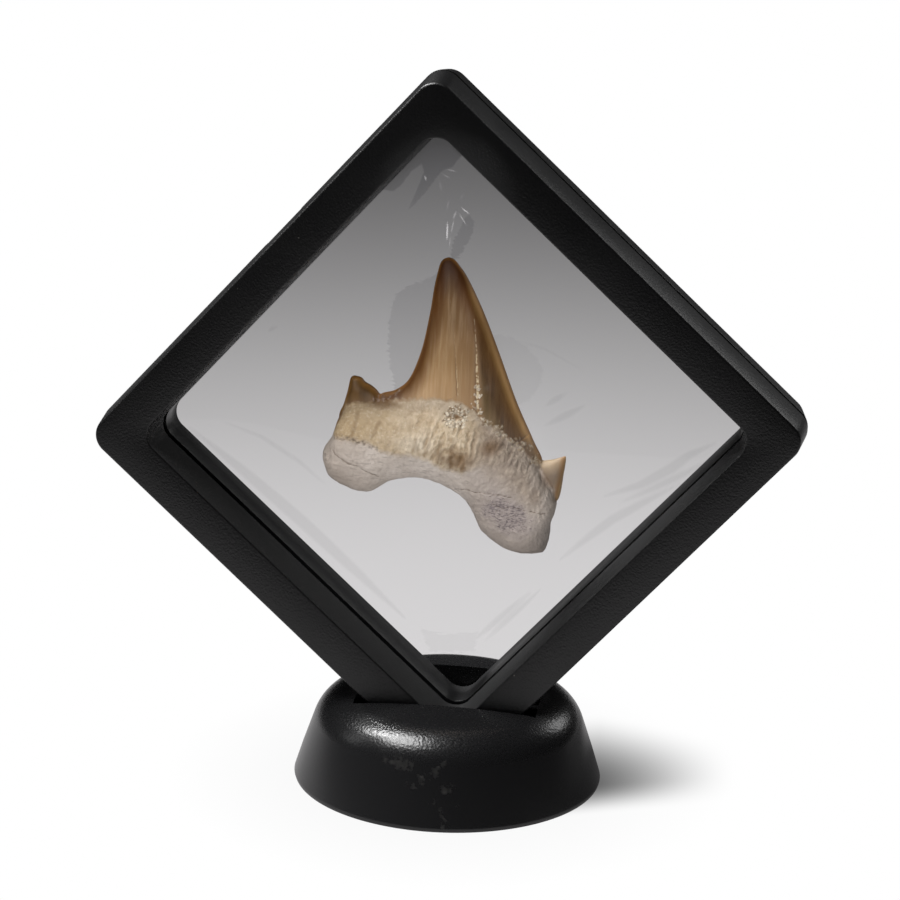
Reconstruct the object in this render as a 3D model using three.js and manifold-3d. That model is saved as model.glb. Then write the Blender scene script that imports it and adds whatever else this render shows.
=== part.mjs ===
// A fossil shark tooth held between two clear films in a square black frame, which
// stands on one corner in a round base. Millimetres, +Z up, the display side faces -Y.
// The origin is the middle of the base's underside.
import * as THREE from "three";
import { mergeVertices } from "three/addons/utils/BufferGeometryUtils.js";
import Module from "manifold-3d";

const wasm = await Module();
wasm.setup();

// Frame: two drafted halves that meet at a seam, the widest line of the frame
const SEAM_HALF = 45.0; // half the width across the seam
const FRONT_HALF = 44.3; // half the width of the front face
const REAR_HALF = 44.4;
const FRONT_DEPTH = 10.1; // seam to front face
const REAR_DEPTH = 9.1; // seam to rear face
const CORNER_RADIUS = 3.6;
const EDGE_BEVEL = 0.4;
const SEAM_GAP = 0.3;

// Window through both halves, nearly straight walls
const WINDOW_FRONT = 37.7; // half the opening at the front face
const WINDOW_SEAM = 37.1;
const WINDOW_REAR = 37.0;
const WINDOW_RADIUS = 3.4;
const WINDOW_BEVEL = 0.35;

// Thumb notch across the seam, on the upper left side
const NOTCH_LENGTH = 9.0;
const NOTCH_DEPTH = 0.35;
const NOTCH_WIDTH = 3.0;
const NOTCH_OFFSET = 5.0; // from the middle of the side towards the top corner

// Films: each lies in a rebate behind the seam face of its half
const FILM = 0.3;
const FILM_HALF = 41.2;
const FILM_MIDDLE = 0.35; // seam to the middle of a film where it lies flat
const REBATE_HALF = 41.6;
const REBATE_DEPTH = 0.85;
const REBATE_RADIUS = 0.5;
const FILM_CELLS = 20;
const FILM_CLEARANCE = 0.35; // film to tooth
const FILM_ROUNDS = 500;

// Base: a lathe shape with a straight drafted wall, a round shoulder and a low crown
const BASE_RADIUS = 27.5;
const WALL_DRAFT = THREE.MathUtils.degToRad(17.4);
const SHOULDER_RADIUS = 7.5;
const SHOULDER_TOP = 15.9;
const CROWN_SLOPE = THREE.MathUtils.degToRad(6);
const BASE_SIDES = 56;
const SHOULDER_STEPS = 7;
const CROWN_STEPS = 3;

// How the frame stands in the base: leaning back and turned a little on its corner
const FRAME_CENTRE = new THREE.Vector3(-1.5, 2.5, 64.2); // middle of the seam plane
const LEAN = THREE.MathUtils.degToRad(-2.15);
const ROLL = THREE.MathUtils.degToRad(-3.15);

// Slot in the base
const SLOT_CLEARANCE = 0.4;
const MOUTH_LEFT = -15.9;
const MOUTH_RIGHT = 16.5;
const MOUTH_FLOOR = 10.5; // the straight-walled mouth ends here, the corner pocket goes on
const SLOT_REAR_PLAY = 0.7;

// Tooth: half thicknesses, from the seam plane forwards and backwards
const CROWN_FRONT = 4.6;
const CROWN_BACK = 2.6;
const ROOT_FRONT = 6.2;
const ROOT_BACK = 3.6;
const CUSP_FRONT = 1.9;
const CUSP_BACK = 1.4;
const PIT_RADIUS = 1.35;
const PIT_PLACE = new THREE.Vector2(1.2, 1.7);

const BLACK_FRAME = { color: 0x18181a, roughness: 0.5, metalness: 0 };
const BLACK_BASE = { color: 0x19191b, roughness: 0.42, metalness: 0 };
const CLEAR_FILM = {
  color: 0xe6e7ea,
  roughness: 0.12,
  metalness: 0,
  transparent: true,
  opacity: 0.25,
};
const FOSSIL = { color: 0x8c6f52, roughness: 0.35, metalness: 0 };

// Solids: closed meshes in and out of boolean cuts
function merged(geometry) {
  const plain = geometry.index ? geometry.toNonIndexed() : geometry.clone();
  plain.deleteAttribute("normal");
  plain.deleteAttribute("uv");
  return mergeVertices(plain, 1e-4);
}

function solid(geometry) {
  const body = merged(geometry);
  const kept = [];
  const index = body.index.array;
  for (let i = 0; i < index.length; i += 3) {
    const [a, b, c] = [index[i], index[i + 1], index[i + 2]];
    if (a !== b && b !== c && c !== a) kept.push(a, b, c);
  }
  return new wasm.Manifold(
    new wasm.Mesh({
      numProp: 3,
      vertProperties: new Float32Array(body.attributes.position.array),
      triVerts: new Uint32Array(kept),
    })
  );
}

function shown(manifold) {
  const { vertProperties, triVerts } = manifold.getMesh();
  const geometry = new THREE.BufferGeometry();
  geometry.setAttribute("position", new THREE.BufferAttribute(vertProperties, 3));
  geometry.setIndex(new THREE.BufferAttribute(triVerts, 1));
  geometry.computeVertexNormals();
  return geometry;
}

function piece(name, geometry, look) {
  const mesh = new THREE.Mesh(geometry, new THREE.MeshStandardMaterial(look));
  mesh.name = name;
  return mesh;
}

// A square standing on one corner, with round corners
function diamond(half, radius) {
  const shape = new THREE.Shape();
  const inner = half - radius;
  const turn = Math.PI / 4;
  for (let side = 0; side < 4; side += 1) {
    const start = side * (Math.PI / 2);
    const centre = new THREE.Vector2(inner, inner).rotateAround(new THREE.Vector2(), start + turn);
    shape.absarc(centre.x, centre.y, radius, start + turn, start + turn + Math.PI / 2, false);
  }
  shape.closePath();
  return shape;
}

// A diamond block that grows evenly from one half width to another along +Z
function drafted(nearHalf, farHalf, radius, from, to, bevel = 0) {
  const depth = to - from;
  const geometry = new THREE.ExtrudeGeometry(diamond(nearHalf, radius), {
    depth: depth - 2 * bevel,
    curveSegments: 5,
    bevelEnabled: bevel > 0,
    bevelThickness: bevel,
    bevelSize: bevel,
    bevelOffset: -bevel,
    bevelSegments: 2,
  });
  geometry.translate(0, 0, from + bevel);
  const place = geometry.attributes.position;
  for (let i = 0; i < place.count; i += 1) {
    const grown = 1 + (farHalf / nearHalf - 1) * ((place.getZ(i) - from) / depth);
    place.setXY(i, place.getX(i) * grown, place.getY(i) * grown);
  }
  return geometry;
}

// One half of the frame: the seam plane is z 0 and the outer face is at z = depth
function frameHalf(faceHalf, windowFace, depth, notchTurn) {
  const past = 1;
  const windowGrowth = (windowFace - WINDOW_SEAM) / depth;
  const outer = drafted(SEAM_HALF, faceHalf, CORNER_RADIUS, SEAM_GAP / 2, depth, EDGE_BEVEL);
  const window = drafted(
    WINDOW_SEAM - windowGrowth * past,
    windowFace + windowGrowth * past,
    WINDOW_RADIUS,
    -past,
    depth + past
  );
  const flare = drafted(
    windowFace,
    windowFace + 2 * WINDOW_BEVEL,
    WINDOW_RADIUS,
    depth - WINDOW_BEVEL,
    depth + WINDOW_BEVEL
  );
  const rebate = drafted(REBATE_HALF, REBATE_HALF, REBATE_RADIUS, -past, REBATE_DEPTH);
  const notch = new THREE.BoxGeometry(NOTCH_LENGTH, 2 * NOTCH_DEPTH, NOTCH_WIDTH);
  notch.translate(NOTCH_OFFSET, SEAM_HALF, 0);
  notch.rotateZ(notchTurn);
  return [window, flare, rebate, notch].reduce(
    (body, cut) => body.subtract(solid(cut)),
    solid(outer)
  );
}

const FACING_FRONT = new THREE.Matrix4().makeRotationX(Math.PI / 2);
const FACING_REAR = FACING_FRONT.clone().multiply(new THREE.Matrix4().makeRotationY(Math.PI));

function frontHalf() {
  const geometry = shown(frameHalf(FRONT_HALF, WINDOW_FRONT, FRONT_DEPTH, Math.PI / 4));
  return geometry.applyMatrix4(FACING_FRONT);
}

function rearHalf() {
  const geometry = shown(frameHalf(REAR_HALF, WINDOW_REAR, REAR_DEPTH, -Math.PI / 4));
  return geometry.applyMatrix4(FACING_REAR);
}

// Tooth: bodies swept between two edge curves that start and end together
function edge(points) {
  return new THREE.CatmullRomCurve3(points.map(([x, z]) => new THREE.Vector3(x, 0, z)));
}

// A sphere pulled over the sections. A section runs from one edge curve to the other;
// front and back give its bulge, and a fullness under 1 squares the section off.
function swept({ left, right, front, back, fullness, rows, around, lumps }) {
  const geometry = merged(new THREE.SphereGeometry(1, around, rows));
  const place = geometry.attributes.position;
  const a = new THREE.Vector3();
  const b = new THREE.Vector3();
  for (let i = 0; i < place.count; i += 1) {
    const along = Math.acos(THREE.MathUtils.clamp(place.getY(i), -1, 1)) / Math.PI;
    const ring = Math.max(Math.hypot(place.getX(i), place.getZ(i)), 1e-9);
    const across = place.getX(i) / ring;
    const rise = Math.sign(place.getZ(i)) * Math.abs(place.getZ(i) / ring) ** fullness;
    left.getPointAt(along, a);
    right.getPointAt(along, b);
    const x = (a.x + b.x) / 2 + ((b.x - a.x) / 2) * across;
    const z = (a.z + b.z) / 2 + ((b.z - a.z) / 2) * across;
    const width = a.distanceTo(b) / 2;
    const bulge = rise > 0 ? front(along, width) : -back(along, width);
    const rough = 1 + lumps * (Math.sin(0.9 * x + 0.4 * z) + Math.sin(0.5 * x - 0.8 * z + 2));
    place.setXYZ(i, x, -bulge * Math.abs(rise) * rough, z);
  }
  return solid(geometry);
}

// Bulge that grows with the section's width and levels off at the most
function levelling(most, widthAtMost) {
  return (along, width) => most * Math.sin((Math.PI / 2) * Math.min(width / widthAtMost, 1));
}

function crown() {
  const left = edge([[0.4, 29.8], [-2.2, 24.8], [-3.1, 20.0], [-4.7, 13.6], [-7.0, 8.4],
    [-9.6, 5.7], [-12.7, 4.9], [-12.9, 1.4], [-6, -2.5], [2, -4.5]]);
  const right = edge([[0.4, 29.8], [3.7, 26.2], [6.3, 20.3], [8.8, 13.3], [11.8, 4.3],
    [14.6, -2.5], [16.0, -6.6], [12, -8.5], [2, -4.5]]);
  return swept({
    left, right,
    front: levelling(CROWN_FRONT, 11), back: levelling(CROWN_BACK, 11),
    fullness: 0.95, rows: 32, around: 24, lumps: 0.004,
  });
}

function root() {
  const upper = edge([[-22.9, -6.2], [-22.4, -4.0], [-20.6, -1.4], [-19.4, 1.8], [-16.5, 4.2],
    [-12.2, 4.3], [-6, 4.7], [-1, 4.6], [5, 2.9], [10.4, -1.5], [15.3, -6.6], [18.4, -13.0],
    [17.4, -17.5], [17.0, -20.6], [16.0, -22.9]]);
  const lower = edge([[-22.9, -6.2], [-20.8, -9.6], [-15.2, -11.9], [-10.5, -9.8], [-4.5, -9.4],
    [2.2, -12.9], [5.2, -18.6], [8.4, -21.3], [12, -22.6], [16.0, -22.9]]);
  return swept({
    left: lower, right: upper,
    front: levelling(ROOT_FRONT, 6.6), back: levelling(ROOT_BACK, 6.6),
    fullness: 0.82, rows: 38, around: 24, lumps: 0.02,
  });
}

function cusp(outer, inner) {
  return swept({
    left: edge(outer), right: edge(inner),
    front: levelling(CUSP_FRONT, 3), back: levelling(CUSP_BACK, 3),
    fullness: 0.9, rows: 10, around: 14, lumps: 0.01,
  });
}

function tooth() {
  const leftCusp = cusp(
    [[-16.7, 8.7], [-18.4, 5.6], [-19.6, 1.2], [-16.5, -1.5]],
    [[-16.7, 8.7], [-14.4, 6.2], [-11.6, 4.4], [-12.4, 1.2], [-16.5, -1.5]]
  );
  const rightCusp = cusp(
    [[20.4, -5.2], [18.2, -5.9], [15.6, -6.6], [14.6, -9.6], [15.2, -12.6]],
    [[20.4, -5.2], [19.9, -8.2], [18.6, -13.4], [15.2, -12.6]]
  );
  const pit = new THREE.SphereGeometry(PIT_RADIUS, 16, 10);
  pit.translate(PIT_PLACE.x, -CROWN_FRONT - 0.3, PIT_PLACE.y);
  const whole = [root(), leftCusp, rightCusp].reduce((body, next) => body.add(next), crown());
  return shown(whole.subtract(solid(pit)));
}

// A film is stretched from the window's edge over the tooth: each inner corner of the
// net moves to the mean of its neighbours, and never below the tooth under it.
function stretchedFilm(toothGeometry, side) {
  const count = FILM_CELLS + 1;
  const cell = (2 * FILM_HALF) / FILM_CELLS;
  const floor = new Float64Array(count * count).fill(FILM_MIDDLE);
  const points = toothGeometry.attributes.position;
  for (let i = 0; i < points.count; i += 1) {
    const flat = new THREE.Vector2(points.getX(i), points.getZ(i));
    flat.rotateAround(new THREE.Vector2(), Math.PI / 4);
    const column = Math.floor((flat.x + FILM_HALF) / cell);
    const row = Math.floor((flat.y + FILM_HALF) / cell);
    const height = side * points.getY(i) + FILM_CLEARANCE + FILM / 2;
    for (const at of [row * count + column, (row + 1) * count + column]) {
      floor[at] = Math.max(floor[at], height);
      floor[at + 1] = Math.max(floor[at + 1], height);
    }
  }
  const height = floor.slice();
  for (let round = 0; round < FILM_ROUNDS; round += 1) {
    for (let row = 2; row < count - 2; row += 1) {
      for (let column = 2; column < count - 2; column += 1) {
        const at = row * count + column;
        const mean = (height[at - 1] + height[at + 1] + height[at - count] + height[at + count]) / 4;
        height[at] = Math.max(floor[at], mean);
      }
    }
  }
  const sheet = merged(
    new THREE.BoxGeometry(2 * FILM_HALF, FILM, 2 * FILM_HALF, FILM_CELLS, 1, FILM_CELLS)
  );
  const place = sheet.attributes.position;
  for (let i = 0; i < place.count; i += 1) {
    const column = Math.round((place.getX(i) + FILM_HALF) / cell);
    const row = Math.round((place.getZ(i) + FILM_HALF) / cell);
    place.setY(i, place.getY(i) + side * height[row * count + column]);
  }
  sheet.rotateY(Math.PI / 4);
  sheet.computeVertexNormals();
  return sheet;
}

// Base: the lathe profile runs from the flat underside round the wall to the crown
function baseBody() {
  const shoulderHeight = SHOULDER_TOP - SHOULDER_RADIUS;
  const shoulderCentre =
    BASE_RADIUS - Math.tan(WALL_DRAFT) * shoulderHeight - SHOULDER_RADIUS / Math.cos(WALL_DRAFT);
  const profile = [
    new THREE.Vector2(0, 0),
    new THREE.Vector2(BASE_RADIUS - EDGE_BEVEL, 0),
    new THREE.Vector2(BASE_RADIUS, EDGE_BEVEL),
  ];
  const shoulderTurn = Math.PI / 2 - CROWN_SLOPE - WALL_DRAFT;
  for (let i = 0; i <= SHOULDER_STEPS; i += 1) {
    const angle = WALL_DRAFT + (i / SHOULDER_STEPS) * shoulderTurn;
    profile.push(
      new THREE.Vector2(
        shoulderCentre + SHOULDER_RADIUS * Math.cos(angle),
        shoulderHeight + SHOULDER_RADIUS * Math.sin(angle)
      )
    );
  }
  const rim = profile[profile.length - 1];
  const crownRadius = rim.x / Math.sin(CROWN_SLOPE);
  for (let i = CROWN_STEPS - 1; i >= 0; i -= 1) {
    const angle = (CROWN_SLOPE * i) / CROWN_STEPS;
    const drop = crownRadius * (Math.cos(angle) - Math.cos(CROWN_SLOPE));
    profile.push(new THREE.Vector2(crownRadius * Math.sin(angle), rim.y + drop));
  }
  profile[profile.length - 1].x = 0;
  return new THREE.LatheGeometry(profile, BASE_SIDES).rotateX(Math.PI / 2);
}

// The pocket: the frame's lower corner with play around it, and a straight mouth above
function slotCut(stand) {
  const depth = FRONT_DEPTH + REAR_DEPTH + 2 * SLOT_CLEARANCE + SLOT_REAR_PLAY;
  const corner = drafted(
    SEAM_HALF + SLOT_CLEARANCE,
    SEAM_HALF + SLOT_CLEARANCE,
    CORNER_RADIUS,
    0,
    depth
  );
  corner.applyMatrix4(FACING_REAR);
  corner.translate(0, -FRONT_DEPTH - SLOT_CLEARANCE, 0);
  corner.applyMatrix4(stand);
  const high = 2 * SHOULDER_TOP;
  const mouth = new THREE.BoxGeometry(MOUTH_RIGHT - MOUTH_LEFT, depth, high);
  mouth.translate((MOUTH_LEFT + MOUTH_RIGHT) / 2, 0, high / 2);
  mouth.rotateX(LEAN);
  const lean = Math.tan(-LEAN);
  const middle = FRAME_CENTRE.y - FRONT_DEPTH - SLOT_CLEARANCE + depth / 2;
  mouth.translate(0, middle - lean * (FRAME_CENTRE.z - MOUTH_FLOOR), MOUTH_FLOOR);
  return solid(corner).add(solid(mouth));
}

// Put together
const frame = new THREE.Group();
frame.position.copy(FRAME_CENTRE);
frame.rotation.set(LEAN, ROLL, 0, "YXZ");
frame.updateMatrix();

const toothGeometry = tooth();
frame.add(piece("frame_front", frontHalf(), BLACK_FRAME));
frame.add(piece("frame_rear", rearHalf(), BLACK_FRAME));
frame.add(piece("film_front", stretchedFilm(toothGeometry, -1), CLEAR_FILM));
frame.add(piece("film_rear", stretchedFilm(toothGeometry, 1), CLEAR_FILM));
frame.add(piece("tooth", toothGeometry, FOSSIL));

const base = piece("base", shown(solid(baseBody()).subtract(slotCut(frame.matrix))), BLACK_BASE);

const display = new THREE.Group();
display.add(base, frame);

export default display;
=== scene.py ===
import math
from functools import partial
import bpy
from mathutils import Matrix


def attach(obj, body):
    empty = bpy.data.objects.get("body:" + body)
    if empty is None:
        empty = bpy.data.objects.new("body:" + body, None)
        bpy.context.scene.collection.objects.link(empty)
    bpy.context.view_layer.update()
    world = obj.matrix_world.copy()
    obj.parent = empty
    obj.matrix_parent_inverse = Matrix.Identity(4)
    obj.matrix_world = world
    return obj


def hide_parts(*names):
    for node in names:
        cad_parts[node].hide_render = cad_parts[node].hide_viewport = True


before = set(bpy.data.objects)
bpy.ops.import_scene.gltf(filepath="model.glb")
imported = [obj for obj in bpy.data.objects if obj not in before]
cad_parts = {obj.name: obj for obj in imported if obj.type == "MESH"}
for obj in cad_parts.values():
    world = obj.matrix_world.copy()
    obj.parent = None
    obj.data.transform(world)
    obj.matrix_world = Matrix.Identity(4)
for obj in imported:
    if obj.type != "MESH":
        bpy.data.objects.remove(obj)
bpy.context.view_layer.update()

from types import SimpleNamespace

import bmesh
import bpy
import numpy as np
from mathutils import Matrix, Vector, noise
from mathutils.bvhtree import BVHTree

# A fossil shark tooth between two clear films in a square black frame that stands on one
# corner in a round base. Pieces are modelled in millimetres. The tooth, the films and the
# frame halves share the frame's own axes: x to the right, y away from the viewer with 0 at
# the seam, z up. STANDING turns them to where the frame stands, in metres.
MM = 0.001
SEAM_CENTRE = Vector((-1.5, 2.5, 64.2))
LEAN = math.radians(-2.15)
ROLL = math.radians(-3.15)
METRES = Matrix.Scale(MM, 4)
STANDING = (
    METRES
    @ Matrix.Translation(SEAM_CENTRE)
    @ Matrix.Rotation(ROLL, 4, "Y")
    @ Matrix.Rotation(LEAN, 4, "X")
)

# Frame
SEAM_HALF = 45
FRONT_HALF = 44.3
REAR_HALF = 44.4
FRONT_DEPTH = 10.1
REAR_DEPTH = 9.1
CORNER_RADIUS = 3.6
SEAM_GAP = 0.3
EDGE_ROUND = 0.4
WINDOW_FRONT = 37.7
WINDOW_REAR = 37
WINDOW_SEAM = 37.1
WINDOW_RADIUS = 3.4
WINDOW_ROUND = 0.3
REBATE_HALF = 41.6
REBATE_DEPTH = 0.85
REBATE_RADIUS = 0.5
CORNER_STEPS = 16
SHADOW_GAP = (0.7, 1)  # depth and width of the rebate round the rear half's seam
TONGUE = (42.6, 42.6, 43.6, 43.6)  # the front half's lip that closes the seam inside
TONGUE_RADIUS = 2
TONGUE_REACH = 0.12  # past the seam
NOTCH = (0.5, 9.5)  # along the upper left side, from its middle towards the top corner
NOTCH_DEPTH = 0.35
NOTCH_REACH = 1.5  # from the seam

# Base
BASE_RADIUS = 27.5
WALL_DRAFT = math.radians(17.4)
SHOULDER_RADIUS = 7.5
SHOULDER_TOP = 15.9
CROWN_SLOPE = math.radians(6)
SLOT_CLEARANCE = 0.4
SLOT_REAR_PLAY = 0.7
MOUTH = (-15.9, 16.5)
MOUTH_FLOOR = 10.5
SCUFFS = [  # places where the wall is rubbed grey, and their sizes
    (-7.9, -22.7, 10.9, 0.7), (-6.8, -23.1, 10.9, 0.8), (-5.7, -23.4, 10.8, 0.9), (-4.5, -23.7, 10.8, 0.8),
    (-3.2, -23.9, 10.8, 0.6), (-0.6, -24.3, 10.1, 0.5), (0.8, -24.3, 10.1, 0.7), (2.3, -23.8, 11.2, 0.5),
    (-1.7, -24.6, 9, 0.5), (-1.1, -24.8, 8.4, 0.6), (-3.3, -24.9, 7.5, 0.6), (2.6, -25.1, 7.2, 0.7),
    (3.6, -24.9, 7.5, 0.6), (0.9, -25.9, 4.9, 0.5), (1.3, -26.1, 4.3, 0.5), (1.7, -26.3, 3.7, 0.5),
    (2.2, -26.5, 3, 0.5), (2.7, -26.6, 2.6, 0.5), (3, -26.75, 2.1, 0.5), (3.1, -26.9, 1.4, 0.45),
    (3, -27, 0.9, 0.45), (5.3, -25.5, 4.6, 0.4),
]
WANDER = 0.0013  # how far noise pulls the scuffs out of shape, in metres

# Films
FILM_HALF = 41.2
FILM_MIDDLE = 0.35
FILM_THICKNESS = 0.1
FILM_CELLS = 188
FILM_LIFT = 0.12  # between a film and the tooth that it lies on

# Tooth
VOXEL = 0.2


def linear(code):
    """An sRGB hex colour as linear red, green, blue and alpha."""
    parts = [int(code[i : i + 2], 16) / 255 for i in (0, 2, 4)]
    return [c / 12.92 if c <= 0.04045 else ((c + 0.055) / 1.055) ** 2.4 for c in parts] + [1]


def smooth(low, high, value):
    """0 below low, 1 above high and an even turn between them."""
    t = np.clip((np.asarray(value) - low) / (high - low), 0, 1)
    return t * t * (3 - 2 * t)


def bell(value, width):
    """1 where the value is 0, falling away over the width on both sides."""
    return np.exp(-((value / width) ** 2))


# Nodes: settings, named for what a node does with them
PLUS = {"operation": "ADD"}
MINUS = {"operation": "SUBTRACT"}
TIMES = {"operation": "MULTIPLY"}
OVER = {"operation": "DIVIDE"}
TIMES_PLUS = {"operation": "MULTIPLY_ADD"}
TO_POWER = {"operation": "POWER"}
HIGHER = {"operation": "MAXIMUM"}
LOWER = {"operation": "MINIMUM"}
UNSIGNED = {"operation": "ABSOLUTE"}
UNDER = {"operation": "LESS_THAN"}
APART = {"operation": "DISTANCE"}
EASED = {"interpolation_type": "SMOOTHSTEP"}
INVERTED = {"vector_type": "TEXTURE"}  # takes a place back from where the values moved it


def add_node(tree, kind, *values, out=0, **sockets):
    """Adds a node and gives one of its outputs. Values go to its inputs in order and sockets
    to inputs by name, with _ for a space: each is a value or the output that feeds it. A dict
    before the values holds the node's settings."""
    made = tree.nodes.new("ShaderNode" + kind)
    if values and isinstance(values[0], dict):
        settings, *values = values
        for name, value in settings.items():
            setattr(made, name, value)
    for name, value in [*enumerate(values), *sockets.items()]:
        key = name.replace("_", " ") if isinstance(name, str) else name
        if isinstance(value, bpy.types.NodeSocket):
            tree.links.new(value, made.inputs[key])
        else:
            made.inputs[key].default_value = value
    return made.outputs[out] if made.outputs else None


def new_material(name, *marks):
    """An empty material, what adds nodes to it, the object's own coordinates, and the marks
    that are painted on the piece."""
    material = bpy.data.materials.new(name)
    material.use_nodes = True
    material.node_tree.nodes.clear()
    add = partial(add_node, material.node_tree)
    painted = {mark: add("Attribute", {"attribute_name": mark}, out="Fac") for mark in marks}
    return material, add, add("TexCoord", out="Object"), SimpleNamespace(**painted)


def stained(add, colour, *stains):
    """Lays stains over a colour. A stain has what it follows, the values of that where it
    starts and where it is full, its strength there and its colour."""
    for source, start, full, strength, code in stains:
        share = add("MapRange", source, start, full, 0, strength)
        colour = add("MixRGB", share, colour, linear(code))
    return colour


# Meshes
def plain_object(name, bm):
    mesh = bpy.data.meshes.new(name)
    bm.to_mesh(mesh)
    bm.free()
    made = bpy.data.objects.new(name, mesh)
    bpy.context.scene.collection.objects.link(made)
    return made


def settled(made):
    """The object's mesh with its modifiers applied, as a bmesh, with the object removed."""
    shown = made.evaluated_get(bpy.context.evaluated_depsgraph_get())
    bm = bmesh.new()
    bm.from_mesh(shown.to_mesh())
    shown.to_mesh_clear()
    bpy.data.objects.remove(made)
    return bm


def finished(name, bm, material, node, place=STANDING):
    """Makes a mesh object of a bmesh, in metres, puts it on the root body and hides the part that it stands
    for.
    """
    bm.transform(place)
    piece = plain_object(name, bm)
    piece.data.materials.append(material)
    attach(piece, "root")
    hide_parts(node)
    return piece


def paint_on(piece, marks):
    """Keeps named values at the points of a piece, for its material to read."""
    for name, values in marks.items():
        layer = piece.data.attributes.new(name, "FLOAT", "POINT")
        layer.data.foreach_set("value", np.asarray(values, np.float32))


def shade_smooth(piece, angle=40):
    """Smooth shading, with edges sharper than the angle kept crisp."""
    piece.data.shade_smooth()
    piece.data.set_sharp_from_angle(angle=math.radians(angle))


# Frame halves
def set_ring(vertices, step, half, radius, depth):
    """Moves a ring of vertices to a square loop standing on one corner, with round corners."""
    for vertex in vertices:
        side, at = divmod(vertex[step], CORNER_STEPS)
        turn = math.radians(90 * side)
        angle = turn + math.radians(-45 + 90 * at / (CORNER_STEPS - 1))
        reach = (half - radius) * math.sqrt(2)
        vertex.co.x = reach * math.cos(turn) + radius * math.cos(angle)
        vertex.co.z = reach * math.sin(turn) + radius * math.sin(angle)
        vertex.co.y = depth


def pulled_rings(section):
    """A first ring of edges and the rings extruded from it, one for each of the section's
    points: half width, corner radius, depth from the seam."""
    bm = bmesh.new()
    step = bm.verts.layers.int.new("step")
    made = bmesh.ops.create_circle(bm, segments=4 * CORNER_STEPS, radius=1)["verts"]
    for i, vertex in enumerate(made):
        vertex[step] = i
    loops = [list({e for v in made for e in v.link_edges})]
    set_ring(made, step, *section[0])
    for point in section[1:]:
        pulled = bmesh.ops.extrude_edge_only(bm, edges=loops[-1])["geom"]
        set_ring([g for g in pulled if isinstance(g, bmesh.types.BMVert)], step, *point)
        loops.append([g for g in pulled if isinstance(g, bmesh.types.BMEdge)])
    return bm, loops


def frame_half(name, face_half, window_face, depth, facing, material):
    """One half of the frame. Facing is -1 for the half towards the viewer, 1 for the other."""
    low = SEAM_GAP / 2
    window_low = WINDOW_SEAM + (window_face - WINDOW_SEAM) * REBATE_DEPTH / depth
    shadow_gap = [] if facing < 0 else [
        (SEAM_HALF - SHADOW_GAP[0], CORNER_RADIUS, low, 0),
        (SEAM_HALF - SHADOW_GAP[0], CORNER_RADIUS, low + SHADOW_GAP[1], 0),
    ]
    at_seam = low if facing < 0 else low + SHADOW_GAP[1]
    section = shadow_gap + [  # half width, corner radius, depth from the seam, edge rounding
        (SEAM_HALF, CORNER_RADIUS, at_seam, 0.12),
        (face_half, CORNER_RADIUS, depth, EDGE_ROUND),
        (window_face, WINDOW_RADIUS, depth, WINDOW_ROUND),
        (window_low, WINDOW_RADIUS, REBATE_DEPTH, 0.06),
        (REBATE_HALF, REBATE_RADIUS, REBATE_DEPTH, 0),
        (REBATE_HALF, REBATE_RADIUS, low, 0.05),
    ]
    if facing < 0:
        depths = (low, -TONGUE_REACH, -TONGUE_REACH, low)
        section += [(half, TONGUE_RADIUS, at, 0) for half, at in zip(TONGUE, depths)]
    places = [(half, radius, facing * at) for half, radius, at, _ in section]
    bm, loops = pulled_rings(places + places[:1])
    bmesh.ops.remove_doubles(bm, verts=bm.verts, dist=1e-4)
    bmesh.ops.recalc_face_normals(bm, faces=bm.faces)
    for place, (_, _, _, rounding) in zip(places, section):
        if rounding:
            half, radius, at = place
            edge = ring_edges(bm, half, radius, at)
            bmesh.ops.bevel(
                bm, geom=edge, offset=rounding, segments=4, profile=0.5,
                affect="EDGES", material=-1, offset_type="OFFSET",
            )
    cut_notch(bm, facing)
    walls = [loop_half(v.co, window_face, WINDOW_RADIUS) < window_face + 0.02 for v in bm.verts]
    piece = finished(name, bm, material, name.replace("_half", ""))
    paint_on(piece, {"wall": walls})
    shade_smooth(piece, 30)
    return piece


def loop_half(place, half, radius):
    """Half the width of the loop through a place, alike in shape to the given one."""
    along = sorted((abs(place.x + place.z), abs(place.x - place.z)))
    near, far = (a / math.sqrt(2) - half + radius for a in along)
    return half - radius + (far if near < 0 else math.hypot(near, far))


def ring_edges(bm, half, radius, depth):
    """The edges of the square loop at that place."""

    def on_loop(vertex):
        return abs(vertex.co.y - depth) < 1e-3 and abs(loop_half(vertex.co, half, radius) - half) < 1e-3

    return [e for e in bm.edges if all(on_loop(v) for v in e.verts)]


def cut_notch(bm, facing):
    """The shallow notch across the seam by which the frame is opened."""
    along = Vector((1, 0, 1)).normalized()
    out = Vector((-1, 0, 1)).normalized()
    step = 0.12
    cuts = [(along * (at + shift), along) for at in NOTCH for shift in (-step, step)]
    cuts += [(Vector((0, facing * (NOTCH_REACH + shift), 0)), Vector((0, 1, 0))) for shift in (-step, step)]
    for point, normal in cuts:
        near = {
            f for f in bm.faces
            if f.calc_center_median().dot(out) > REBATE_HALF + 1 and abs(f.normal.y) < 0.98
        }
        geometry = list(near) + [e for f in near for e in f.edges] + [v for f in near for v in f.verts]
        bmesh.ops.bisect_plane(bm, geom=list(dict.fromkeys(geometry)), plane_co=point, plane_no=normal)
    for vertex in bm.verts:
        at = vertex.co.dot(along)
        if (
            NOTCH[0] < at < NOTCH[1]
            and abs(vertex.co.y) < NOTCH_REACH
            and vertex.co.dot(out) > SEAM_HALF - 0.5
        ):
            vertex.co -= out * NOTCH_DEPTH


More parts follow.
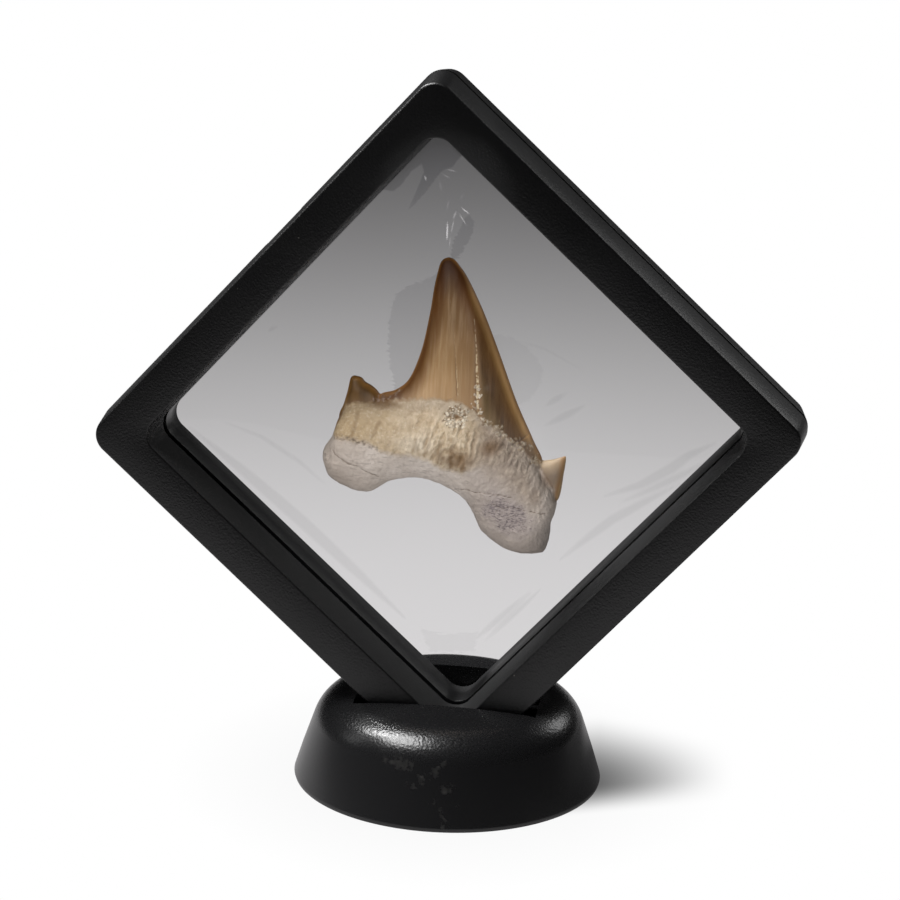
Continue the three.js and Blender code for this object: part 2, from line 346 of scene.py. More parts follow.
# Base
def base_profile():
    """The section of the base from the axis below, round the wall and shoulder, to the axis."""
    height = SHOULDER_TOP - SHOULDER_RADIUS
    centre = BASE_RADIUS - math.tan(WALL_DRAFT) * height - SHOULDER_RADIUS / math.cos(WALL_DRAFT)
    points = [(0, 0), (BASE_RADIUS - 0.5, 0), (BASE_RADIUS - 0.12, 0.12), (BASE_RADIUS, 0.5)]
    points += [(BASE_RADIUS - math.tan(WALL_DRAFT) * rise, 0.5 + rise) for rise in (0.4, 4.5)]
    steps = 16
    turn = math.pi / 2 - CROWN_SLOPE - WALL_DRAFT
    for i in range(steps + 1):
        angle = WALL_DRAFT + turn * i / steps
        points.append(
            (centre + SHOULDER_RADIUS * math.cos(angle), height + SHOULDER_RADIUS * math.sin(angle))
        )
    rim_radius, rim_height = points[-1]
    crown = rim_radius / math.sin(CROWN_SLOPE)
    for i in range(9, -1, -1):
        angle = CROWN_SLOPE * i / 10
        drop = crown * (math.cos(angle) - math.cos(CROWN_SLOPE))
        points.append((crown * math.sin(angle), rim_height + drop))
    return points


def base_body():
    bm = bmesh.new()
    points = [bm.verts.new((radius, 0, height)) for radius, height in base_profile()]
    edges = [bm.edges.new(pair) for pair in zip(points, points[1:])]
    bmesh.ops.spin(
        bm, geom=points + edges, cent=(0, 0, 0), axis=(0, 0, 1),
        angle=2 * math.pi, steps=160, use_merge=True, use_duplicate=False,
    )
    bmesh.ops.remove_doubles(bm, verts=bm.verts, dist=1e-4)
    bmesh.ops.recalc_face_normals(bm, faces=bm.faces)
    return bm


def pocket():
    """What the slot takes out of the base: the frame's corner with play, and the mouth."""
    depth = FRONT_DEPTH + REAR_DEPTH + 2 * SLOT_CLEARANCE + SLOT_REAR_PLAY
    near = -FRONT_DEPTH - SLOT_CLEARANCE
    half = SEAM_HALF + SLOT_CLEARANCE
    corner, loops = pulled_rings([(half, CORNER_RADIUS, y) for y in (near, near + depth)])
    for loop in loops:
        bmesh.ops.edgeloop_fill(corner, edges=loop)
    corner.transform(Matrix.Scale(1 / MM, 4) @ STANDING)
    mouth = bmesh.new()
    bmesh.ops.create_cube(mouth, size=1)
    high = 2 * SHOULDER_TOP
    bmesh.ops.scale(mouth, vec=(MOUTH[1] - MOUTH[0], depth, high), verts=mouth.verts)
    bmesh.ops.translate(mouth, vec=(sum(MOUTH) / 2, 0, high / 2), verts=mouth.verts)
    mouth.transform(Matrix.Rotation(LEAN, 4, "X"))
    middle = SEAM_CENTRE.y + near + depth / 2
    shift = middle - math.tan(-LEAN) * (SEAM_CENTRE.z - MOUTH_FLOOR)
    mouth.transform(Matrix.Translation((0, shift, MOUTH_FLOOR)))
    for bm in (corner, mouth):
        bmesh.ops.recalc_face_normals(bm, faces=bm.faces)
    return corner, mouth


def base_piece(material):
    body = plain_object("base_body", base_body())
    cutters = [plain_object("cutter", bm) for bm in pocket()]
    for cutter in cutters:
        cut = body.modifiers.new("slot", "BOOLEAN")
        cut.object = cutter
        cut.solver = "EXACT"
    bm = settled(body)
    for cutter in cutters:
        bpy.data.objects.remove(cutter)
    bmesh.ops.remove_doubles(bm, verts=bm.verts, dist=0.12)
    bmesh.ops.dissolve_degenerate(bm, edges=bm.edges, dist=0.01)
    piece = finished("base_stand", bm, material, "base", METRES)
    lip = piece.modifiers.new("lip", "BEVEL")
    lip.width = 0.22 * MM
    lip.segments = 2
    lip.limit_method = "ANGLE"
    lip.angle_limit = math.radians(38)
    shade_smooth(piece, 38)
    return piece


# Tooth form
def curve(points, count=400):
    """Points evenly spaced along a smooth line through the given ones."""
    p = np.array(points, float)
    p = np.vstack([2 * p[0] - p[1], p, 2 * p[-1] - p[-2]])
    t = np.linspace(0, 1, 24, endpoint=False)[:, None]
    parts = []
    for a, b, c, d in zip(p, p[1:], p[2:], p[3:]):
        bend = 2 * a - 5 * b + 4 * c - d
        twist = 3 * b - a - 3 * c + d
        parts.append(0.5 * (2 * b + (c - a) * t + bend * t**2 + twist * t**3))
    line = np.vstack(parts + [p[-2:-1]])
    length = np.concatenate([[0], np.cumsum(np.hypot(*np.diff(line, axis=0).T))])
    even = np.linspace(0, length[-1], count)
    return np.column_stack([np.interp(even, length, line[:, k]) for k in (0, 1)])


def swept(bm, left, right, front, back, level, fullness, rows, around):
    """A sphere pulled over sections that run from one edge line to the other. Its bulge
    grows with the section's width and levels off at the width called level."""
    made = bmesh.ops.create_uvsphere(bm, u_segments=around, v_segments=rows, radius=1)
    left, right = curve(left), curve(right)
    for vertex in made["verts"]:
        along = math.acos(max(-1, min(1, vertex.co.z))) / math.pi * (len(left) - 1)
        spread = max(math.hypot(vertex.co.x, vertex.co.y), 1e-9)
        across = vertex.co.x / spread
        turn = -vertex.co.y / spread
        low = min(int(along), len(left) - 2)
        a = left[low] + (left[low + 1] - left[low]) * (along - low)
        b = right[low] + (right[low + 1] - right[low]) * (along - low)
        x, z = (a + b) / 2 + (b - a) / 2 * across
        width = np.hypot(*(b - a)) / 2
        bulge = math.sin(math.pi / 2 * min(width / level, 1)) * (front if turn > 0 else back)
        vertex.co = (x, -math.copysign(abs(turn) ** fullness, turn) * bulge, z)


CROWN_LEFT = [(0.4, 29.9), (-0.35, 29.7), (-0.95, 29.1), (-1.3, 28.2), (-2.2, 24.8), (-3.1, 20),
    (-4.7, 13.6), (-7, 8.4), (-9.6, 6.3), (-12.5, 5.3), (-12.9, 1.4), (-6, -2.5), (2, -4.5)]
CROWN_RIGHT = [(0.4, 29.9), (1.1, 29.75), (1.6, 29.3), (2.1, 28.7), (3.7, 26.2), (6.3, 20.3),
    (8.8, 13.3), (11.8, 4.3), (14.6, -2.5), (16, -6.6), (12, -8.5), (2, -4.5)]
ROOT_UPPER = [(-22.9, -6.2), (-22.4, -4), (-20.6, -1.4), (-19.4, 1.8), (-16.5, 4.2), (-12.2, 4.3),
    (-6, 4.7), (-1, 4.6), (5, 2.9), (10.4, -1.5), (15.3, -6.6), (18.4, -13), (17.4, -17.5),
    (17, -20.6), (16, -22.9)]
ROOT_LOWER = [(-22.9, -6.2), (-20.8, -9.6), (-15.2, -11.9), (-10.5, -9.8), (-4.5, -9.4),
    (2.2, -12.9), (5.2, -18.6), (8.4, -21.3), (12, -22.6), (16, -22.9)]
LEFT_CUSP = (
    [(-16.75, 8.9), (-17.4, 8.5), (-18, 6.2), (-18.7, 4), (-19.6, 1.2), (-16.5, -1.5)],
    [(-16.75, 8.9), (-15.4, 8.5), (-14.8, 7.7), (-13.5, 6.9), (-12.3, 5.4), (-12, 2), (-16.5, -1.5)],
)
RIGHT_CUSP = (
    [(20.4, -5.2), (18.2, -5.9), (15.6, -6.6), (14.6, -9.6), (15.2, -12.6)],
    [(20.4, -5.2), (19.9, -8.2), (18.6, -13.4), (15.2, -12.6)],
)


def tooth_form():
    """Crown, root and the two side cusps grown together, in fine even faces."""
    bm = bmesh.new()
    swept(bm, CROWN_LEFT, CROWN_RIGHT, 4.6, 2.6, 11, 0.95, 64, 64)
    swept(bm, ROOT_LOWER, ROOT_UPPER, 6.2, 3.6, 6.6, 0.82, 72, 64)
    swept(bm, *LEFT_CUSP, 1.9, 1.4, 3, 0.9, 32, 32)
    swept(bm, *RIGHT_CUSP, 1.9, 1.4, 3, 0.9, 32, 32)
    bmesh.ops.recalc_face_normals(bm, faces=bm.faces)
    rough = plain_object("tooth_form", bm)
    grown = rough.modifiers.new("grown", "REMESH")
    grown.mode = "VOXEL"
    grown.voxel_size = VOXEL
    bm = settled(rough)
    ends = [Vector((a, 0, b)) for a, b in (ROOT_LOWER[0], ROOT_LOWER[-1])]
    for turn in range(18):
        chosen = bm.verts
        if turn > 2:
            chosen = [v for v in bm.verts if min((v.co - end).length for end in ends) < 2.2]
        bmesh.ops.smooth_vert(
            bm, verts=chosen, factor=0.5, use_axis_x=True, use_axis_y=True, use_axis_z=True
        )
    return bm


# Tooth surface: places on the tooth are x and z in the frame's axes
ENAMEL_LINE = [(-24, -3), (-19.9, 0.1), (-19.3, 1.2), (-18.8, 2.6), (-18.2, 3.9), (-17, 4.5),
    (-15.6, 4.6), (-12.8, 4.4), (-11.3, 4.8), (-8.7, 5.2), (-5.6, 5.6), (-2.9, 5.9), (-0.9, 5.9),
    (0.2, 5.4), (1, 5.5), (2.8, 5.2), (4.1, 4.2), (5.3, 3.2), (6.1, 2), (7.1, 1.3), (8.3, 0.7),
    (9.8, -0.4), (11.2, -1.9), (12.5, -2.9), (13.8, -4.6), (15.1, -6), (15.8, -6.6), (24, -9)]
RIGHT_CUSP_ENAMEL = [(15.4, -6.3), (17.5, -5.2), (20.8, -4.9), (20.6, -9.5), (18.8, -13.6), (18.2, -12.6),
    (18.3, -11), (17.7, -9.5), (16.7, -8.1)]
LEDGE = [(-24, 0.5), (-20.2, -1.1), (-16.8, -1.4), (-13.6, -1.9), (-11.6, -3.2), (-9, -3.9), (-6, -4.1),
    (-3.3, -4.9), (-1.3, -6.5), (2.4, -7.2), (6, -6), (24, -2)]
FILLED_CRACKS = {  # pale grains fill these in the enamel: line from the top down
    "main_crack": [(4.8, 19.4), (4.9, 18.4), (5.2, 15.1), (5.3, 11.7), (5.4, 8.3), (5.4, 5.7), (5.5, 3.5)],
    "fine_crack": [(0.8, 22.9), (1.1, 19.4), (1.6, 15.2), (1.9, 10.9), (2.1, 6.4)],
}
OPEN_CRACKS = [  # line, half width, depth
    ([(-20.3, -3.2), (-19.2, -4.1), (-17.4, -5.4), (-15.4, -6.6), (-13.4, -7.8), (-12.1, -8.4)], 0.13, 0.22),
    ([(11, -2.8), (12.5, -2), (13.7, -1.4)], 0.15, 0.22),
    ([(1, -10.4), (2.9, -10.2), (4.8, -10.6), (8.4, -10.9), (11.3, -11.3)], 0.1, 0.12),
    ([(7.4, -12.7), (9.4, -13.2), (11.3, -13), (14.4, -13.8), (16.9, -14.7)], 0.09, 0.1),
]
PITTED_LINE = [(-20.1, -1.1), (-18.2, -1), (-16.4, -1.4), (-14.7, -1.8), (-13.3, -2.3), (-11.6, -3.4)]
PIT = (1.7, 2.6)
DENT = (-2.4, 1.9)
CRUMBS = [(5.3, 7.6), (5.4, 6.4), (5.2, 5), (5.65, 3.5), (6.3, 2.1), (7.5, 1.4), (8.6, 0.7),
    (9.3, 0.1), (9, -0.7), (9.8, -1.1), (10.9, -1.9), (12, -2.2), (13, -2.6), (14.4, -3.2),
    (16.3, -5.3), (-12.6, 4.8), (-11.4, 5.3), (-10.4, 6), (-9, 6.3), (15.1, -5.4), (15.4, -6.5),
    (14.7, -5.9), (8.5, 0.2), (7.2, 1.4), (11.3, -2.3), (5.1, 4.1), (5.5, 3), (12.6, -3.4)]
# brown stains, but the patches at (7.7, -2.7) and (-11.2, 4.3) are painted shade under the enamel's edge
BROWN_STAINS_AND_SHADE = [  # place, reach both ways and strength
    (1.7, -4.9, 3.5, 1.9, 1), (-0.6, -4.4, 1.2, 1.2, 0.8), (2.8, -5.9, 1, 1.1, 1),
    (7.7, -2.7, 2, 1.6, 0.9), (17.4, -8.6, 1.6, 2.2, 0.9), (15.6, -11.6, 1.2, 1.8, 0.4),
    (-11.2, 4.3, 3.2, 0.8, 0.95),
]
# painted highlight: a bright spot on the root's upper band
PAINTED_HIGHLIGHT = (-5.8, -2, 3.4, 1.7)  # place and reach both ways
BROWN_GROOVES = [
    [(-15.7, 2.9), (-16.1, 0.6), (-16.8, -1.6)], [(-1, -1.9), (-1.7, -5.1)],
    [(1.1, -1), (0.6, -5.4)], [(-3, -1), (-3.9, -4)], [(-5.2, -1.2), (-5.9, -3.4)],
    [(-11.7, 1.6), (-12.8, -0.6)],
]
POROUS = (10.4, -14.6)
POROUS_REACH = (5.6, 3.6)
# where the crown turns to its right facet: a ridge in the relief, and painted shade beyond it
FACET_EDGE = [(-8, 6.9), (2, 6.3), (9, 5.9), (18, 5.2), (27, 3.2)]

# Heights of the relief and depths of what is sunk into it
ENAMEL_RISE = 0.07
LEDGE_RISE = 0.16
LEFT_LEDGE_RISE = 0.14
FOLD_RISE = (0.06, 0.15)
RIGHT_FOLD_RISE = 0.12
GRAIN_RISE = 0.08
SWELLING = (0.1, 0.09)
RIDGE_RISE = 0.3
FLUTE_RISE = 0.05
CRACK_RISE = 0.1
PITTED_DEPTH = 0.25
EDGE_PIT_DEPTH = 0.1
PORE_DEPTH = 0.09
PIT_DEPTH = 0.6
DENT_DEPTH = 0.15
GRIT_RISE = 0.24


def line_distance(flat, line):
    """Distance from each place to a line of points, and how far along the line that is."""
    best = np.full(len(flat), 1e9)
    along = np.zeros(len(flat))
    p = np.array(line, float)
    for k, (a, b) in enumerate(zip(p, p[1:])):
        d = b - a
        t = np.clip(((flat - a) @ d) / max(d @ d, 1e-9), 0, 1)
        gap = np.hypot(*(flat - a - t[:, None] * d).T)
        nearer = gap < best
        best[nearer] = gap[nearer]
        along[nearer] = (k + t[nearer]) / (len(p) - 1)
    return best, along


def depth_inside(flat, outline):
    """Distance from each place to a closed outline, positive inside it."""
    p = np.array(list(outline) + [outline[0]], float)
    x, z = flat.T
    inside = np.zeros(len(flat), bool)
    for a, b in zip(p, p[1:]):
        crosses = (a[1] > z) != (b[1] > z)
        rise = b[1] - a[1]
        rise = rise if abs(rise) > 1e-9 else 1e-9
        inside ^= crosses & (x < (b[0] - a[0]) * (z - a[1]) / rise + a[0])
    gap, _ = line_distance(flat, p)
    return np.where(inside, gap, -gap)


def lumps(co, scale, seed=0, stretch=(1, 1, 1)):
    """Smooth noise between about -1 and 1, with lumps of the given size in millimetres."""
    s = [k / scale for k in stretch]
    places = [(x * s[0] + seed, y * s[1], z * s[2] - seed) for x, y, z in co.tolist()]
    return np.array([noise.noise(place) for place in places])


def near_spots(flat, spots, size):
    """1 at any of the spots, falling off over the size."""
    nearest = np.min([np.hypot(flat[:, 0] - a, flat[:, 1] - b) for a, b in spots], axis=0)
    return bell(nearest, size)


def sculpt(bm):
    """Works the fossil's relief into the form and returns what the paint needs at each vertex."""
    co = np.array([v.co for v in bm.verts])
    normal = np.array([v.normal for v in bm.verts])
    flat = co[:, [0, 2]]
    x, z = flat.T
    front = smooth(0.1, -0.6, normal[:, 1])
    ragged = 0.3 * lumps(co, 1.4, 3) + 0.15 * lumps(co, 0.5, 9)
    height = z - np.interp(x, *np.array(ENAMEL_LINE).T) + ragged * front
    enamel = np.maximum(height, depth_inside(flat, RIGHT_CUSP_ENAMEL))
    on_enamel = smooth(-0.15, 0.15, enamel)
    on_root = 1 - on_enamel
    below = -height
    ledge = z - np.interp(x, *np.array(LEDGE).T) + 0.25 * lumps(co, 1.1, 13)
    left_part = smooth(6, 2, x)

    # Enamel lies a little proud of the root, and the root's upper band of its lower part
    lift = ENAMEL_RISE * on_enamel * front
    over = smooth(-0.5, 0.5, ledge)
    bulge = LEDGE_RISE + LEFT_LEDGE_RISE * smooth(2, -6, x)
    lift += front * on_root * left_part * bulge * over * bell(below - 5, 3.4)

    tilted = np.column_stack([x - 0.35 * z, co[:, 1], z + 0.35 * x])
    folds = 0.7 - 2.2 * np.abs(lumps(tilted, 1.2, 1, (1, 0.4, 0.35)))
    folds += 0.4 * lumps(co, 0.5, 5, (1, 0.5, 0.6))
    bumps = lumps(co, 0.6, 7) + 0.5 * lumps(co, 0.4, 17)
    band = on_root * smooth(1.2, 2.6, below) * over
    folded = smooth(-9, -1, x) * smooth(6.5, 4, x) * smooth(1.5, 5.5, below)
    right_folds = 0.6 - 2 * np.abs(lumps(tilted, 1.1, 23, (1, 0.4, 0.4)))
    right_folds += 0.3 * lumps(co, 0.5, 27)
    right_band = on_root * smooth(6, 8, x) * smooth(7.5, 3, below) * smooth(0.3, 1.2, below)
    lift += front * folds * band * (FOLD_RISE[0] + FOLD_RISE[1] * folded)
    lift += front * right_folds * right_band * RIGHT_FOLD_RISE
    lift += GRAIN_RISE * bumps * on_root * front
    lift += (SWELLING[0] * lumps(co, 2.4, 11) + SWELLING[1] * lumps(co, 1.3, 15)) * on_root

    facet = x - np.interp(z, *np.array(FACET_EDGE).T)
    ridge = bell(facet, 1.5) * smooth(26, 20, z) * smooth(2, 5, z)
    lift += RIDGE_RISE * ridge * on_enamel * front
    flutes = lumps(co, 1.1, 29, (1, 0.3, 0.05))
    lift += FLUTE_RISE * flutes * on_enamel * front

    filled = {}
    for name, line in FILLED_CRACKS.items():
        zs = [b for _, b in line][::-1]
        xs = [a for a, _ in line][::-1]
        side = x - np.interp(z, zs, xs) + 0.1 * lumps(co, 0.9, 33)
        beyond = np.maximum(z - zs[-1], 0) + np.maximum(zs[0] - z, 0)
        width = 0.28 + 0.72 * smooth(17, 7, z)
        filled[name] = (side + np.sign(side) * beyond) / width + 8 * (1 - front)
    lift += CRACK_RISE * bell(filled["main_crack"], 0.3) * lumps(co, 0.4, 37)
    lift -= CRACK_RISE * bell(filled["main_crack"] + 0.3, 0.2)
    crack = np.zeros(len(co))
    for line, half, depth in OPEN_CRACKS:
        wander = 0.14 * lumps(co, 0.7, 21) + 0.25 * lumps(co, 2.2, 83)
        gap, _ = line_distance(flat + wander[:, None], line)
        mark = bell(gap, half) * front * smooth(-0.6, -0.2, lumps(co, 1.3, 81))
        lift -= depth * mark
        crack = np.maximum(crack, mark)

    gap, _ = line_distance(flat, PITTED_LINE)
    pitted = bell(gap, 0.5) * smooth(0, 0.35, lumps(co, 0.4, 31)) * front
    lift -= PITTED_DEPTH * pitted
    edge_pits = bell(ledge, 0.4) * on_root * smooth(-8, -11, x) * front
    edge_pits *= smooth(0.05, 0.4, lumps(co, 0.5, 43))
    lift -= EDGE_PIT_DEPTH * edge_pits
    right, up = x - POROUS[0], z - POROUS[1]
    long, short = POROUS_REACH
    porous = np.hypot((0.85 * right - 0.5 * up) / long, (0.5 * right + 0.85 * up) / short)
    porous = smooth(1.2, 0.5, porous + 0.3 * lumps(co, 1.8, 91)) * front
    fibres = lumps(co, 0.3, 41, (0.5, 1, 1.3))
    lift -= PORE_DEPTH * smooth(-0.1, 0.3, fibres) * porous

    pit_gap = np.hypot(x - PIT[0], z - PIT[1]) + 0.55 * lumps(co, 1.1, 47)
    hollow = smooth(0.9, 0.5, pit_gap) * front
    rim = smooth(2.9, 1.5, pit_gap) * (1 - hollow) * front
    grit = lumps(co, 0.42, 51)
    lift -= PIT_DEPTH * hollow
    lift -= DENT_DEPTH * bell(x - DENT[0], 1) * bell(z - DENT[1], 0.55) * front
    crumbs = near_spots(flat, CRUMBS, 0.75) * front
    matrix = smooth(0, 0.25, lumps(co, 0.45, 61) + 1.1 * (np.maximum(rim, crumbs) - 0.55)) * front
    matrix[np.maximum(rim, crumbs) < 0.05] = 0
    matrix *= 1 - 0.4 * smooth(6, 7.5, x)
    lift += GRIT_RISE * matrix * (0.3 + grit)

    co += normal * lift[:, None]
    for vertex, place in zip(bm.verts, co):
        vertex.co = place
    crown_edge = np.vstack([curve(CROWN_LEFT, 120)[:84][::-1], curve(CROWN_RIGHT, 120)[:86]])
    crown_gap, _ = line_distance(flat, crown_edge)
    cusp_edge = np.vstack([curve(LEFT_CUSP[0], 60)[:45][::-1], curve(LEFT_CUSP[1], 60)[:38]])
    cusp_gap, _ = line_distance(flat, cusp_edge)
    other_gap, _ = line_distance(flat, RIGHT_CUSP[1][:3])
    other = smooth(-0.4, 0.2, depth_inside(flat, RIGHT_CUSP_ENAMEL))
    patches = [k * bell(x - a, wide) * bell(z - b, high) for a, b, wide, high, k in BROWN_STAINS_AND_SHADE]
    brown = np.max(patches, axis=0)
    brown[x < 5] *= smooth(-0.5, 0.2, ledge[x < 5])
    grooves = [bell(line_distance(flat, line)[0], 0.45) for line in BROWN_GROOVES]
    a, b, wide, high = PAINTED_HIGHLIGHT
    return {
        "enamel": enamel,
        "rim": np.where(x < -12.4, cusp_gap, np.where(other > 0.5, other_gap + 0.5, crown_gap)),
        "up": z,
        "across": x,
        "below": below,
        "ledge": ledge,
        "facet": facet,
        "fold": (folds * band * folded + 0.6 * right_folds * right_band) * front,
        "ridged": np.maximum(band * (0.3 + 0.7 * folded), right_band) * front,
        "left_cusp": smooth(-12, -12.8, x),
        "right_cusp": other,
        "right_part": smooth(3, 8, x - 0.2 * z),
        "crack": np.maximum(crack, edge_pits * 0.55),
        "matrix": matrix,
        "pitted": pitted,
        "hollow": hollow,
        "porous": porous,
        "brown": brown,
        # pale marks the painted highlight on the root's upper band
        "pale": bell(x - a, wide) * bell(z - b, high),
        "groove": np.max(grooves, axis=0),
        **filled,
    }


def tooth_piece():
    bm = tooth_form()
    bm.normal_update()
    marks = sculpt(bm)
    piece = finished("fossil_tooth", bm, fossil(marks), "tooth")
    paint_on(piece, marks)
    piece.data.shade_smooth()
    return piece


# Films
def tooth_heights(tooth, facing, cells):
    """How far the tooth reaches from the seam towards one side, at each point of a net."""
    inverse = STANDING.inverted()
    mesh = tooth.data
    tree = BVHTree.FromPolygons(
        [inverse @ v.co for v in mesh.vertices], [tuple(p.vertices) for p in mesh.polygons]
    )
    span = np.linspace(-FILM_HALF, FILM_HALF, cells + 1)
    turn = math.sqrt(0.5)
    reach = np.full((cells + 1, cells + 1), -1e3)
    for i, u in enumerate(span):
        for j, v in enumerate(span):
            start = Vector(((u - v) * turn, facing * 30, (u + v) * turn))
            hit = tree.ray_cast(start, Vector((0, -facing, 0)))[0]
            if hit is not None:
                reach[i, j] = facing * hit.y
    return reach


def widened(values):
    """Each point takes the highest of itself and its eight neighbours."""
    padded = np.pad(values, 1, mode="edge")
    count = len(values)
    return np.max([padded[i : i + count, j : j + count] for i in range(3) for j in range(3)], axis=0)


def stretched(reach, cells):
    """A skin pulled flat from the window's edge, and held up by what is under it."""
    under = np.maximum(widened(reach) + FILM_LIFT + FILM_THICKNESS / 2, FILM_MIDDLE)
    span = np.linspace(-FILM_HALF, FILM_HALF, cells + 1)
    edge = np.maximum(np.abs(span)[:, None], np.abs(span)[None, :]) > WINDOW_SEAM
    under[edge] = FILM_MIDDLE
    skin = under.copy()
    held = edge
    for _ in range(2600):
        mean = (
            np.roll(skin, 1, 0) + np.roll(skin, -1, 0) + np.roll(skin, 1, 1) + np.roll(skin, -1, 1)
        ) / 4
        skin = np.where(held, FILM_MIDDLE, np.maximum(under, mean))
    return skin


# What the films show, as places in x and z of the frame's axes: outlines of the grey patches
# of the rear film, painted where it mirrors the dark room, and how strong each is, its creases
# painted darker as shade, and the white streaks painted on the front film for its glints
# painted reflection: grey patches on the rear film where it mirrors the dark room
REFLECTION_PATCHES = [
    [(-14.5, 39.2), (-12.3, 40.5), (-10.7, 41.5), (-8.9, 41.3), (-7.4, 42.6), (-5.8, 44.7), (-4, 46),
        (-3.6, 44.7), (-4.8, 41.9), (-6.6, 38), (-5.1, 39.3), (-3, 41.5), (-1.5, 43.6), (-0.3, 44.9),
        (1.4, 45.4), (2.3, 46.7), (6, 50), (-1.1, 58)],
    [(4, 37.3), (4.9, 36), (4.6, 34), (3.4, 31.8), (1.9, 29.6), (0.3, 28.8), (1.1, 32.2), (2.2, 34.4),
        (2.9, 36.2)],
    [(-1.4, 27.6), (-2.8, 26.2), (-4.9, 25.3), (-7.6, 24.4), (-9.4, 22.8), (-10.6, 18.5), (-10.9, 14.9),
        (-10.8, 10.3), (-10.2, 6), (-8.9, 3.4), (-2, 5), (0.5, 24)],
    [(4, 15.8), (8.8, 16), (11.5, 15.2), (14.1, 13.4), (16.4, 10.1), (15.9, 7.2), (13.8, 4.2),
        (9, 2)],
    [(-6.4, -37.3), (-1.9, -38.4), (4, -37.9), (3.4, -41.6), (-4.7, -41.8)],
]
REFLECTION_STRENGTHS = [1.1, 1.2, 0.8, 0.3, 0.3]
# painted shade: darker grey lines for the folds of the rear film
CREASES = [  # line, half width at the middle
    ([(16.6, 3.2), (18.5, 4.5), (20.3, 5.6)], 0.55),
    ([(16.4, -0.4), (20, 1.5), (23.6, 3.5)], 0.65),
    ([(-32, 16.6), (-30.2, 17.5)], 0.3),
    ([(26.7, -12.8), (33.1, -10.6), (38.7, -7.4), (41.8, -5), (46.3, -2.8)], 0.9),
    ([(29.9, -13.7), (35.7, -11), (40.9, -8.4), (45.6, -5.5)], 0.6),
    ([(18.8, -24.6), (23.3, -20.8), (28.1, -17), (33.9, -13.6), (40.1, -10.2)], 0.8),
    ([(3.3, -39.4), (8, -35.3), (13.4, -30.5)], 0.6),
    ([(5.4, -39.4), (10.1, -34.9), (15.2, -30.1)], 0.5),
    ([(9.7, 14.4), (13.2, 14.5), (16.7, 13.5), (19.6, 11.9), (23.5, 9.7)], 0.12),
    ([(-40.3, 0.1), (-33.9, -2.6), (-27.3, -7.3), (-23, -11.4)], 0.35),
    ([(-46.7, -0.9), (-38, -8.2), (-27.5, -17.7), (-17, -27.7), (-9.1, -35.5)], 1.1),
]
VEIL_EDGE = [(-52, 0.6), (-42.1, 0.7), (-36.8, 0.1), (-30.7, -1.4), (-22.9, -3.5), (52, -6)]
# painted highlights: white streaks on the front film that stand in for its glints
GLINTS = [  # ends, half width and strength
    ((0.45, 36.4), (0.3, 32.8), 0.2, 0.75), ((0.95, 34.2), (0.65, 31.2), 0.13, 0.15),
    ((1.6, 36.8), (1, 34), 0.16, 0.2), ((2.1, 38.3), (1.3, 36.4), 0.3, 0.15),
    ((2.3, 37.9), (3.9, 35.3), 0.18, 0.22), ((2.7, 38.8), (4.4, 37.4), 0.16, 0.45),
    ((-3.4, 44.3), (-3.1, 43.1), 0.2, 0.3), ((0.9, 40.6), (0.2, 37.6), 0.3, 0.07),
    ((-0.6, 44.6), (1.4, 43.4), 0.22, 0.09), ((0.1, 45.3), (2.5, 44.7), 0.22, 0.12),
    ((-0.9, 43.8), (-0.4, 40.8), 0.4, 0.06), ((3.5, 41.6), (2.5, 39.4), 0.4, 0.05),
]


def tapered(flat, lines):
    """How far each place lies inside the nearest of some lines that are widest half way."""
    depths = []
    for line, half in lines:
        gap, along = line_distance(flat, line)
        depths.append(half * (0.15 + 0.85 * np.sin(math.pi * along)) - gap)
    return np.max(depths, axis=0)


def film_piece(name, tooth, facing, material):
    cells = FILM_CELLS
    skin = stretched(tooth_heights(tooth, facing, cells), cells)
    bm = bmesh.new()
    bmesh.ops.create_grid(bm, x_segments=cells, y_segments=cells, size=FILM_HALF)
    turn = math.sqrt(0.5)
    cell = 2 * FILM_HALF / cells
    for vertex in bm.verts:
        u, v = vertex.co.x, vertex.co.y
        i, j = round((u + FILM_HALF) / cell), round((v + FILM_HALF) / cell)
        vertex.co = ((u - v) * turn, facing * skin[i, j], (u + v) * turn)
    bmesh.ops.recalc_face_normals(bm, faces=bm.faces)
    bmesh.ops.solidify(bm, geom=bm.faces[:], thickness=FILM_THICKNESS)
    bmesh.ops.recalc_face_normals(bm, faces=bm.faces)
    flat = np.array([(v.co.x, v.co.z) for v in bm.verts])
    piece = finished(name, bm, material, name)
    piece.name = "clear_" + name
    far_off = np.full(len(flat), 9)
    veil = flat[:, 1] - np.interp(flat[:, 0], *np.array(VEIL_EDGE).T)
    inside = [depth_inside(flat, p) for p in REFLECTION_PATCHES]
    paint = {
        "patch": -far_off if facing < 0 else np.max(inside, axis=0),
        "dullness": np.array(REFLECTION_STRENGTHS)[np.argmax(inside, axis=0)],
        "high": flat[:, 1],
        "crease": -far_off if facing < 0 else tapered(flat, CREASES),
        "front": np.full(len(flat), float(facing < 0)),
        "lower": far_off if facing < 0 else -veil,
    }
    paint_on(piece, paint)
    shade_smooth(piece, 60)
    return piece


